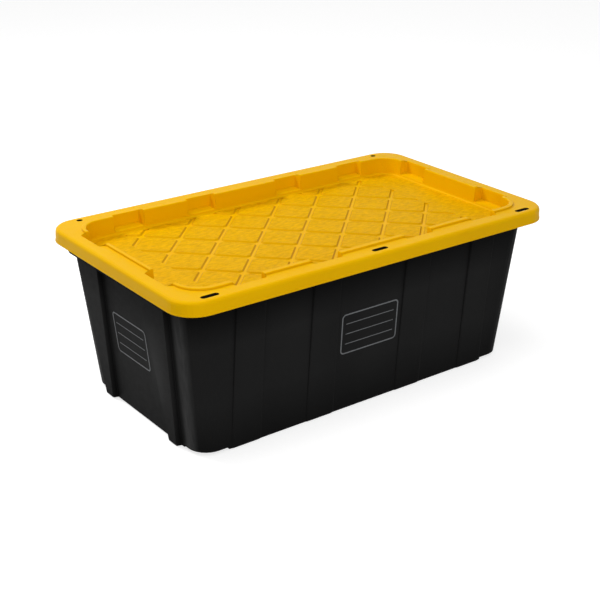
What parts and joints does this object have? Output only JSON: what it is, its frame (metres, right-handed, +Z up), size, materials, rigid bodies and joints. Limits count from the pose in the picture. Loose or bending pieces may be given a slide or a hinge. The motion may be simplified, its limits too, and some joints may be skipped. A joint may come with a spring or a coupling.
{
  "type": "stackable storage bin",
  "caption": "Large rectangular moulded tote with pilastered, tapered walls and a snap lid whose castellated, diamond-padded recess takes the base of the bin above.",
  "frame": {"origin": "centre of the base, on the plane that the bin stands on", "axes": "+X along the long side, +Y along the short side, +Z up out of the tote's mouth"},
  "size_m": [0.99, 0.573, 0.3803],
  "materials": {
    "tote_plastic": "fine-textured black polypropylene",
    "lid_plastic": "satin yellow polypropylene"
  },
  "bodies": {
    "tote": {"tote_body": "tote_plastic"},
    "lid": {"snap_lid": "lid_plastic"}
  },
  "joints": [
    {"name": "lid_lift", "type": "slide", "parent": "tote", "child": "lid", "axis": [0, 0, 1], "range_m": [0, 0.45]}
  ]
}
